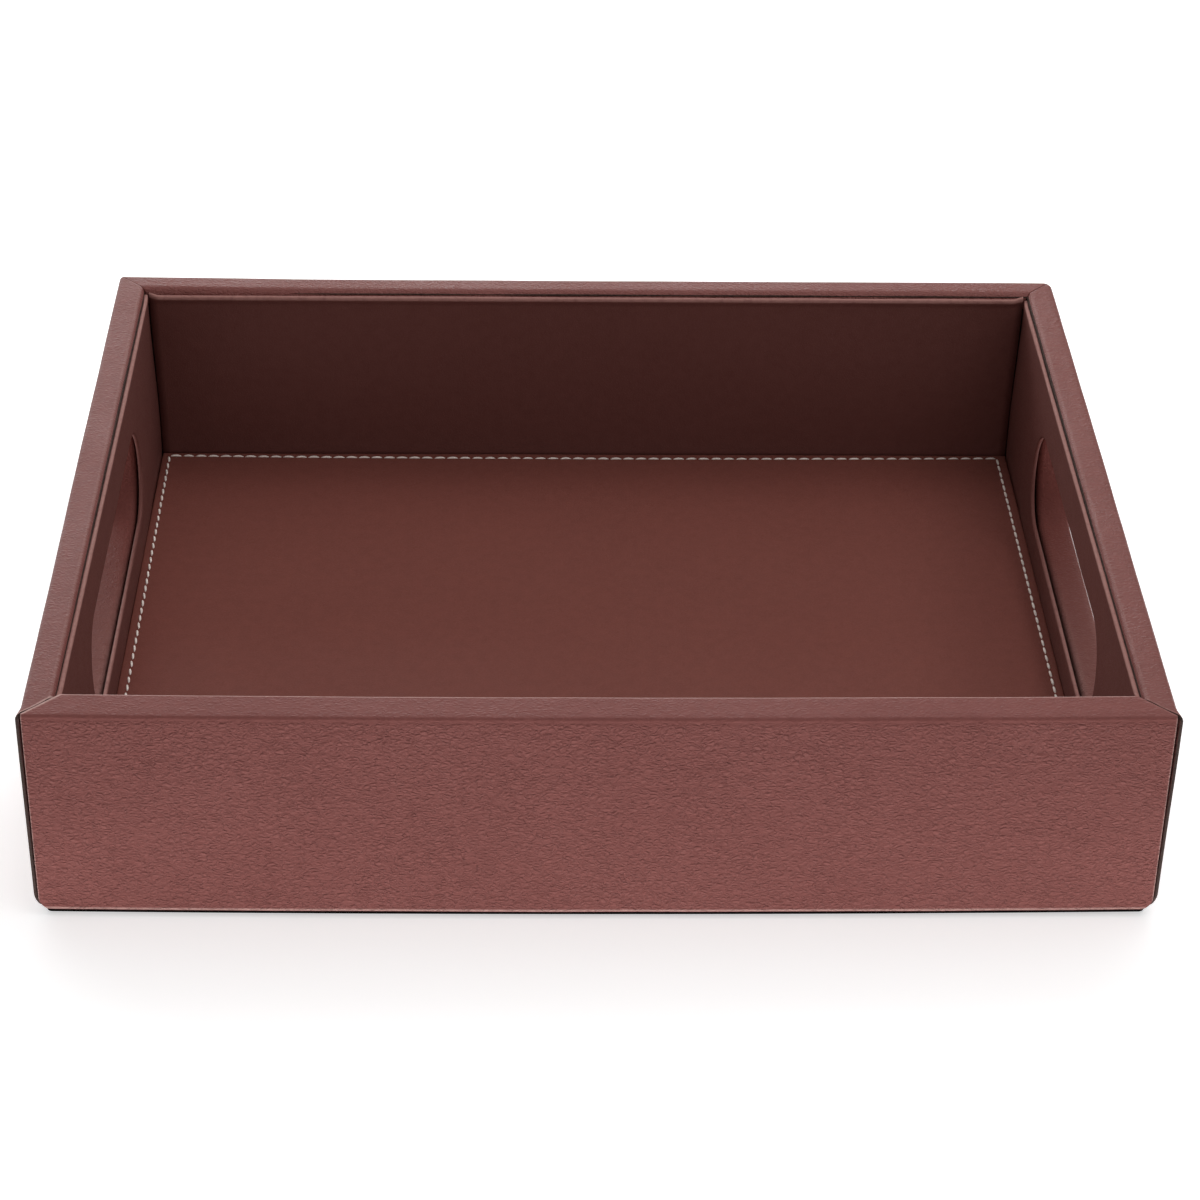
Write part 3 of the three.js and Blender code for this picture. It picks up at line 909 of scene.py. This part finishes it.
def liningLip(bm, name):  # round the hole's edge and back
    style = lining
    front = 1 if name == "right" else -1
    reach = hole["height"] / 2 + style["lip"] - style["holeInset"] + 0.1
    edges = []
    for edge in bm.edges:
        corner = edge.verts[0].co
        if edge.is_boundary and (corner - holeSpine(corner)).length < reach:
            edges.append(edge)
    wearAndPaintedLight = bm.verts.layers.float["wearAndPaintedLight"]
    middle, slope = style["lipWearFade"]
    turn = math.pi / style["lipSteps"]
    for step in range(style["lipSteps"]):
        edges = rollHoleEdge(bm, edges, style["lip"], step * turn, turn, 1)
        # the lip is drawn paler at its crest and towards the front: wear from hands, with a painted
        # highlight on the crest
        for vert in {vert for edge in edges for vert in edge.verts}:
            handled = smoothStep(middle + slope * front * vert.co.x / hole["length"])
            vert[wearAndPaintedLight] = style["lipWearAndHighlight"] * math.sin((step + 1) * turn) * handled
    growHoleEdge(bm, edges, style["lipTurn"])


def lipShift(name, spot):  # the leather below the hole leans inwards
    style = lining
    below = smoothStep((hole["level"] - spot.z) / style["lipFall"])
    above = smoothStep((spot.z - style["lipFoot"]) / style["lipFootRun"])
    along = smoothStep((hole["length"] / 2 + style["lipFall"] - abs(spot.x)) / style["lipEndRun"])
    return style["lipLift"][name] * below * above * along


def leanShare(spot, top):
    return smoothStep((spot.z - top) / lining["leanHeight"] + 1)


def liningShift(name, wall, spot, run, top):  # towards the wall
    style = lining
    share = leanShare(spot, top)
    shift = -style["lean"][name] * share
    if name == "front":
        shift += style["bow"] * share * (1 - (2 * spot.x / run) ** 2)
    if wall["end"]:
        shift += style["cornerTuck"] * smoothStep(1 - (run / 2 - abs(spot.x)) / style["tuckRun"])
        shift -= lipShift(name, spot)
    return shift


def liningSpread(name, wall, spot, run, top):  # along the wall, to meet the leaning neighbours
    lean, share = lining["lean"], leanShare(spot, top)
    if wall["end"]:
        back = 1 if name == "right" else -1
        return -lean["back"] * share * back * (0.5 + back * spot.x / run)
    return -lean["left"] * share * 2 * spot.x / run


def standLining(bm, name, wall):
    standAt(bm, wall["turn"] + 2 * square, tray["liningFace"] - wall["across"] / 2)
    liftTops(bm, 0.0 if name == "back" else outerCover["backLift"])


def makeLiningCard(name, wall, run, low, top):
    style = lining
    bm = blankSheet()
    inset = style["cardInset"]
    low, high = low + style["cardFoot"], top - inset
    wallPanel(bm, wall, run - 2 * inset, low, high, inset - style["holeInset"])
    faceForward(bm)
    for vert in bm.verts:
        vert.co.y += style["thickness"] + style["cardGap"] + liningShift(name, wall, vert.co, run, top)
        vert.co.x += liningSpread(name, wall, vert.co, run, top)
    thicken(bm, style["cardThickness"])
    standLining(bm, name, wall)
    makePiece(f"{name}LiningCard", bm, (greyCard, greyCard), [f"{name}_lining_card"])


def makeLining(name, wall, seed):
    style = lining
    bm = blankSheet()
    low, top = longLiningLow.z, longLiningHigh.z - style["topDrop"][name]
    bend, depth = style["topBend"], tray["liningFace"] - tray["liningBack"]
    high = top - bend
    run = longLiningHigh.x - longLiningLow.x
    if wall["end"]:
        run = endLiningHigh.y - endLiningLow.y - 2 * style["endGap"]
    wallPanel(bm, wall, run, low, high, style["lip"] - style["holeInset"])
    frontRows = bendRows(high, bend, 4, 1)
    topRows = evenRows(frontRows[-1], frontRows[-1] + depth - 2 * bend, 1)
    backRows = bendRows(topRows[-1], bend, 4, 1)
    downRows = evenRows(backRows[-1], backRows[-1] + style["turnBack"], 4)
    for rows in (frontRows, topRows, backRows, downRows):
        growRows(bm, rows)
    if wall["end"]:
        liningLip(bm, name)
    for below in style["foldCreases"]:
        addCrease(bm, (0, 0, high - below), (0, 0, 1))
    faceForward(bm)
    layFlat(bm)
    # the fold is drawn pale: partly wear, partly a painted highlight
    start = high - style["foldDepth"][name] if style["foldDepth"][name] else frontRows[1]
    markWearAndLight(bm, start, backRows[-2], style["foldWearAndHighlight"][name])
    for rows in (frontRows, backRows):
        foldRows(bm, rows)
    ripple(bm, style["ripple"], style["rippleSize"], seed)
    for vert in bm.verts:
        nearEnd = smoothStep(1 - (run / 2 - abs(vert.co.x)) / style["cornerRun"])
        nearTop = smoothStep((vert.co.z - top + style["cornerHeight"]) / style["cornerHeight"])
        if vert.co.y < depth / 2:
            share = max(0.0, 1 - (top - vert.co.z) / style["beadHeight"])
            vert.co.y -= style["bead"][name] * math.sin(math.pi * share ** style["beadSkew"])
        vert.co.y += liningShift(name, wall, vert.co, run, top)
        vert.co.x += liningSpread(name, wall, vert.co, run, top)
        if not wall["end"]:
            vert.co.z += style["cornerRise"] * nearEnd * nearTop
    thicken(bm, style["thickness"])
    standLining(bm, name, wall)
    finish = (liningLeather, liningLeather)
    makePiece(f"{name}Lining", bm, finish, [f"{name}_lining_cover"])
    makeLiningCard(name, wall, run, low, top)


for seed, (name, wall) in enumerate(walls.items()):
    makeLining(name, wall, 40.3 + 5 * seed)
print("linings folded")


# Hand hole sleeves: a strip round the inside of each hole, rolled over at both faces
sleeve = {
    "roll": outerCover["holeRoll"],
    "innerRoll": 2.3,  # over the board's inner edge
    "innerEnd": 10.6,  # from the wall's outer face
    "tail": 2.5,
    "wearAndPaintedLight": 0.25,  # paler towards the front and at the rolled edges: painted light on the hole's near half, painted highlights on the rolls
    "paleRun": 3.0,
    "paleBetween": 0.6,  # share of the paleness away from the rolled edges
    "thickness": 0.5,
    "rollSteps": 6,
    "rows": 5,
}


def makeSleeve(name, wall):
    style = sleeve
    bm = blankSheet()
    roll, inner, steps = style["roll"], style["innerRoll"], style["rollSteps"]
    edges = holeLoop(bm, roll)
    edges = rollHoleEdge(bm, edges, roll, 0.0, square, steps)
    straight = style["innerEnd"] - roll - inner
    for row in range(style["rows"]):
        edges = growEdge(bm, edges, (0, straight / style["rows"], 0))
    edges = rollHoleEdge(bm, edges, inner, square, square, steps)
    growHoleEdge(bm, edges, style["tail"])
    # the sleeve is drawn paler towards the front and at its rolled edges: painted light on the near half,
    # painted highlights on the rolls
    wearAndPaintedLight = bm.verts.layers.float["wearAndPaintedLight"]
    run, end = style["paleRun"], style["innerEnd"]
    for vert in bm.verts:
        towardsFront = vert.co.x * (1 if name == "left" else -1) / hole["length"]
        edge = smoothStep(1 - vert.co.y / run) + smoothStep((vert.co.y - end) / run + 1)
        vert[wearAndPaintedLight] = style["wearAndPaintedLight"] * smoothStep(0.5 + towardsFront) * (style["paleBetween"] + edge)
    middle = Vector((0, 0, hole["level"]))
    turnOut(bm, lambda face: face.normal.dot(middle - face.calc_center_median()))
    thicken(bm, style["thickness"])
    standAt(bm, wall["turn"], wall["across"] / 2)
    finish = (sleeveLeather, rawEdge)
    makePiece(f"{name}HandleSleeve", bm, finish, [f"{name}_handle_sleeve"])


for name in ("left", "right"):
    makeSleeve(name, walls[name])
print("handle sleeves rolled")


# Floor: leather drawn over a card, with a shallow channel under the stitches
floorPanel = {
    "thickness": 0.5,
    "spread": 0.25,  # pressed out against the linings
    "bend": 0.6,
    "bendSteps": 4,
    "channel": 0.55,  # half width
    "sink": 0.22,
    "edgeDrop": 0.35,  # how far the margin falls towards the linings
    "foot": 0.05,
    "turnIn": 12.0,
    "skew": 0.0032,
    "drawIn": 0.35,
    "drawInFrom": 120.0,
    "drawInRun": 30.0,
    "sag": 1.1,
    "sagFrom": 60.0,
    "sagRun": 60.0,
    "ripple": 0.1,
    "rippleSize": 45.0,
    "cell": 3.5,
}


def driftOf(spot):  # the stitched rectangle is a little off square
    style = floorPanel
    pull = style["drawIn"] * smoothStep((abs(spot.x) - style["drawInFrom"]) / style["drawInRun"])
    across = -style["skew"] * spot.y - math.copysign(pull, spot.x)
    forward = style["sag"] * (1 - (spot.x / floorHigh.x) ** 2)
    forward *= smoothStep((spot.y - style["sagFrom"]) / style["sagRun"])
    return Vector((across, -forward, 0))


def spreadEdge(bm, edges, reach, out, down=0.0):  # carries the floor's edge outwards and down
    verts, edges = extrude(bm, edges)
    bmesh.ops.scale(bm, vec=((reach.x + out) / reach.x, (reach.y + out) / reach.y, 1), verts=verts)
    bmesh.ops.translate(bm, verts=verts, vec=(0, 0, -down))
    return edges


def makeFloor():
    style = floorPanel
    bm = blankSheet()
    size, middle = floorHigh - floorLow, (floorHigh + floorLow) / 2
    bend, top = style["bend"], floorHigh.z
    length, width = (side + 2 * (style["spread"] - bend) for side in (size.x, size.y))
    place = Matrix.Translation((middle.x, middle.y, top)) @ Matrix.Diagonal((length, width, 1, 1))
    columns, rows = round(length / style["cell"]), round(width / style["cell"])
    bmesh.ops.create_grid(bm, x_segments=columns, y_segments=rows, size=0.5, matrix=place)
    inset = length / 2 - threadHigh.x + (threadHigh.z - floorHigh.z)  # from the edge to the stitch line
    inner = bm.faces[:]
    for step in (inset - style["channel"], style["channel"], style["channel"]):
        bmesh.ops.inset_region(bm, faces=inner, thickness=step, use_boundary=True, use_even_offset=True)
    lineX, lineY = length / 2 - inset, width / 2 - inset
    for vert in bm.verts:
        offLine = min(abs(abs(vert.co.x) - lineX), abs(abs(vert.co.y) - lineY))
        within = abs(vert.co.x) < lineX + 0.1 and abs(vert.co.y) < lineY + 0.1
        if within and offLine < 0.1:
            vert.co.z -= style["sink"]
        fromEdge = min(length / 2 - abs(vert.co.x), width / 2 - abs(vert.co.y))
        vert.co += driftOf(vert.co) * smoothStep(fromEdge / inset)
        vert.co.z -= style["edgeDrop"] * smoothStep(1 - fromEdge / inset)
    layFlat(bm, (0, 1))
    ripple(bm, style["ripple"], style["rippleSize"], 77.7)
    edges = [edge for edge in bm.edges if edge.is_boundary]
    reach = Vector((length / 2, width / 2, 0))
    for step in range(style["bendSteps"]):
        before, after = (square * place / style["bendSteps"] for place in (step, step + 1))
        out = bend * (math.sin(after) - math.sin(before))
        edges = spreadEdge(bm, edges, reach, out, bend * (math.cos(before) - math.cos(after)))
        reach += Vector((out, out, 0))
    edges = growEdge(bm, edges, (0, 0, floorLow.z + style["foot"] - (top - bend)))
    spreadEdge(bm, edges, reach, -style["turnIn"])
    turnOut(bm, lambda face: face.normal.z * face.calc_area())
    thicken(bm, style["thickness"])
    makePiece("floorLeather", bm, (floorLeather, rawEdge), ["floor_cover"])


makeFloor()
print("floor laid")


# Stitches: one bowed thread, copied along the four sides of the floor
stitch = {
    "pitch": 4.7,
    "length": 3.95,
    "thickness": 0.84,
    "sides": 6,
    "steps": 4,
    "rise": 0.5,  # how far its middle stands above its ends
    "taper": 0.75,
    "slant": (5.0, 2.5, 3.0, 7.5),  # degrees off the stitch line: front, right, back, left
    "swayTurn": 3.0,  # how unevenly the stitches lie
    "swayAcross": 0.06,
    "swayUp": 0.05,
}


def stitchTube(bm):  # one stitch, lying along X
    style = stitch
    half = style["length"] / 2
    radius = (half ** 2 + style["rise"] ** 2) / (2 * style["rise"])
    sweep = 2 * math.asin(half / radius)
    place = Matrix.Translation((0, 0, radius)) @ Matrix.Rotation(square, 4, "Y")
    bmesh.ops.create_circle(
        bm, cap_ends=False, segments=style["sides"], radius=style["thickness"] / 2, matrix=place
    )
    bmesh.ops.rotate(bm, cent=(0, 0, 0), matrix=Matrix.Rotation(-sweep / 2, 3, "Y"), verts=bm.verts[:])
    ring = bm.verts[:] + bm.edges[:]
    bmesh.ops.spin(bm, geom=ring, cent=(0, 0, 0), axis=(0, 1, 0), angle=sweep, steps=style["steps"])
    for ends in (-1, 1):
        rim = [vert for vert in bm.verts if vert.is_boundary and vert.co.x * ends > 0]
        spot = sum((vert.co for vert in rim), Vector()) / len(rim)
        bmesh.ops.scale(bm, vec=[style["taper"]] * 3, space=Matrix.Translation(-spot), verts=rim)
    bmesh.ops.holes_fill(bm, edges=[edge for edge in bm.edges if edge.is_boundary])
    bmesh.ops.recalc_face_normals(bm, faces=bm.faces[:])
    bmesh.ops.translate(bm, verts=bm.verts[:], vec=(0, 0, -radius))


def makeStitches():
    style = stitch
    bm = blankSheet()
    stitchTube(bm)
    pattern = bm.verts[:] + bm.edges[:] + bm.faces[:]
    thread = threadHigh.z - floorHigh.z
    lineX, lineY = threadHigh.x - thread, threadHigh.y - thread
    level = threadHigh.z - style["thickness"] / 2
    count = 0
    for number, slant in enumerate(style["slant"]):
        turn = Matrix.Rotation(number * square, 4, "Z")
        run, reach = (lineX, lineY) if number % 2 == 0 else (lineY, lineX)
        stitches = round(2 * run / style["pitch"])
        for place in range(stitches):
            sway = noise.noise(Vector((count * 0.73, 1.9, 0)))
            along = -run + 2 * run * (place + 0.5) / stitches
            copied = bmesh.ops.duplicate(bm, geom=pattern)["geom"]
            across, up = -reach + style["swayAcross"] * sway, level + style["swayUp"] * sway
            spot = Matrix.Translation((along, across, up))
            spot = spot @ Matrix.Rotation(math.radians(slant + style["swayTurn"] * sway), 4, "Z")
            bmesh.ops.transform(bm, matrix=turn @ spot, verts=pick(copied, bmesh.types.BMVert))
            count += 1
    bmesh.ops.delete(bm, geom=pick(pattern, bmesh.types.BMVert), context="VERTS")
    for vert in bm.verts:
        vert.co += driftOf(vert.co)
    makePiece("floorStitches", bm, (offWhiteThread,), ["floor_stitching"])
    print("stitches sewn:", count)


makeStitches()


# Underside: a felt sheet with rounded corners and a soft edge
felt = {
    "corner": 1.8,
    "cornerSteps": 6,
    "edge": 0.3,
    "edgeSteps": 3,
    "sideInset": 0.9,
    "cuts": 24,
    "bowRun": 130.0,
}


def layFelt():
    style = felt
    bm = blankSheet()
    size, middle = feltHigh - feltLow, (feltHigh + feltLow) / 2
    size.x -= 2 * style["sideInset"]
    bmesh.ops.create_cube(bm, size=1, matrix=Matrix.Translation(middle) @ Matrix.Diagonal((*size, 1)))
    for part in ("corner", "edge"):
        edges = []
        for edge in bm.edges:
            upright = abs(edge.verts[0].co.z - edge.verts[1].co.z)
            if upright > 0.5 if part == "corner" else upright < near:
                edges.append(edge)
        offset, segments = style[part], style[part + "Steps"]
        bmesh.ops.bevel(
            bm, geom=edges, offset=offset, segments=segments, profile=0.5, affect="EDGES", material=-1
        )
    along = [edge for edge in bm.edges if edge.calc_length() > 0.5 * size.y]
    bmesh.ops.subdivide_edges(bm, edges=along, cuts=style["cuts"], use_grid_fill=True)
    for vert in bm.verts:
        if vert.co.y < 0:  # follows the front wall
            bow = outerCover["bow"] * (1 - (vert.co.x / size.x * 2) ** 2)
            vert.co.y -= bow * smoothStep(-vert.co.y / style["bowRun"])
    makePiece("undersideFelt", bm, (darkFelt,), ["underside_sheet"])


layFelt()
print("felt laid")


# Frame pieces that stay as they are: only their finish is set
for name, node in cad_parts.items():
    finish = None
    if name.endswith("_board"):
        finish = fibreboard
    elif name.endswith("_card"):
        finish = greyCard
    elif "_brad_" in name or "_pin_" in name:
        finish = nailSteel
    if finish:
        for place in node.material_slots:
            place.material = finish


# Stage, light and camera
stage = {
    "floorSize": 12.0,  # metres
    "floorBelow": 0.0001,  # just clear of the felt
    "floorColour": 0.86,
    "floorLift": 0.52,  # a little light of its own, for the camera alone
    "sky": 0.34,
    "wallGlow": 0.52,  # how bright a shiny surface sees the white walls
    "wallGlowFade": (0.42, 0.56),  # how high they reach
    "keyPower": 8.0,
    "keySize": (1.6, 1.2),
    "keySpot": (0.45, 0.1, 1.3),
    "rearPower": 3.8,
    "rearSize": (1.6, 0.8),
    "rearSpot": (0, 0.75, 1.0),
    "backPower": 9.8,
    "backSize": (1.8, 0.5),
    "backSpot": (-0.45, 1.3, 0.45),
    "glowPower": 0.4,
    "glowSize": (0.45, 0.21),
    "glowAway": 0.001,  # from the wall that it lights, and from the table
}


def makeFloorStage():
    bm = bmesh.new()
    under = Matrix.Translation((0, 0, -stage["floorBelow"]))
    bmesh.ops.create_grid(bm, x_segments=1, y_segments=1, size=stage["floorSize"] / 2, matrix=under)
    mesh = bpy.data.meshes.new("studioFloor")
    bm.to_mesh(mesh)
    bm.free()
    floor = bpy.data.objects.new("studioFloor", mesh)
    scene.collection.objects.link(floor)
    material, tree, shader = newMaterial("studioWhite", 0.9, 0.0)
    shade = stage["floorColour"]
    shader.inputs["Base Color"].default_value = (shade, shade, shade, 1)
    lift = tree.nodes.new("ShaderNodeEmission")
    seen = tree.nodes.new("ShaderNodeLightPath")
    strength = addMath(tree, "MULTIPLY", seen.outputs["Is Camera Ray"], stage["floorLift"])
    tree.links.new(strength, lift.inputs["Strength"])
    both = tree.nodes.new("ShaderNodeAddShader")
    tree.links.new(shader.outputs[0], both.inputs[0])
    tree.links.new(lift.outputs[0], both.inputs[1])
    tree.links.new(both.outputs[0], tree.nodes["Material Output"].inputs["Surface"])
    mesh.materials.append(material)


def makeWorld():
    world = bpy.data.worlds.new("studio")
    world.use_nodes = True
    scene.world = world
    tree = world.node_tree
    seen = tree.nodes.new("ShaderNodeLightPath")
    shown = addMath(tree, "MAXIMUM", seen.outputs["Is Camera Ray"], seen.outputs["Is Transmission Ray"])
    up = tree.nodes.new("ShaderNodeSeparateXYZ")
    tree.links.new(tree.nodes.new("ShaderNodeTexCoord").outputs["Generated"], up.inputs[0])
    wallGlow = addRange(tree, up.outputs["Z"], *stage["wallGlowFade"], stage["wallGlow"], 0.0)
    glossy = addMath(tree, "MULTIPLY", seen.outputs["Is Glossy Ray"], wallGlow)
    dull = addMath(tree, "MULTIPLY_ADD", seen.outputs["Is Glossy Ray"], -stage["sky"], stage["sky"])
    plain = addMath(tree, "MAXIMUM", addMath(tree, "MAXIMUM", shown, glossy), dull)
    tree.links.new(plain, tree.nodes["Background"].inputs["Strength"])
    tree.nodes["Background"].inputs["Color"].default_value = (1, 1, 1, 1)


def addArea(name, power, size, spot, target):
    light = bpy.data.lights.new(name, "AREA")
    light.shape = "RECTANGLE"
    light.energy = power
    light.size, light.size_y = size
    lamp = bpy.data.objects.new(name, light)
    lamp.location = spot
    lamp.rotation_euler = (Vector(target) - Vector(spot)).to_track_quat("-Z", "Y").to_euler()
    lamp.visible_camera = False
    scene.collection.objects.link(lamp)
    return lamp


def makeLights():
    for lamp in ("key", "rear", "back"):
        softbox = addArea(
            f"{lamp}Softbox", stage[lamp + "Power"], stage[lamp + "Size"], stage[lamp + "Spot"], (0, 0, 0)
        )
        softbox.visible_glossy = lamp != "rear"  # no glare from it on the front rim
    length, depth = stage["glowSize"]
    for name, wall in walls.items():  # panels that stand for a bright table
        away = wall["across"] / 2 * mm + stage["glowAway"] + depth / 2
        spot = Vector((math.sin(wall["turn"]) * away, -math.cos(wall["turn"]) * away, stage["glowAway"]))
        glow = addArea(f"{name}TableGlow", stage["glowPower"], (length, depth), spot, (0, 0, 0))
        glow.rotation_euler = (math.pi, 0, wall["turn"])


viewpoint = {
    "eye": (-22.298, -901.353, 604.592),  # mm
    "yaw": 0.02794,
    "pitch": 0.57211,
    "roll": 0.01778,
    "lens": 95.574,
    "sensor": 36,
    "clipStart": 0.01,
}


def makeCamera():
    yaw, pitch, roll = (viewpoint[key] for key in ("yaw", "pitch", "roll"))
    ahead = Vector((math.sin(yaw) * math.cos(pitch), math.cos(yaw) * math.cos(pitch), -math.sin(pitch)))
    right = Vector((math.cos(yaw), -math.sin(yaw), 0))
    up = right.cross(ahead)
    across = right * math.cos(roll) + up * math.sin(roll)
    above = up * math.cos(roll) - right * math.sin(roll)
    lens = bpy.data.cameras.new("photoView")
    lens.lens = viewpoint["lens"]
    lens.sensor_width = viewpoint["sensor"]
    lens.clip_start = viewpoint["clipStart"]
    camera = bpy.data.objects.new("photoView", lens)
    turn = Matrix((across, above, -ahead)).transposed().to_4x4()
    camera.matrix_world = Matrix.Translation(Vector(viewpoint["eye"]) * mm) @ turn
    scene.collection.objects.link(camera)
    scene.camera = camera


makeFloorStage()
makeWorld()
makeLights()
makeCamera()
print("stage, lights and camera set")
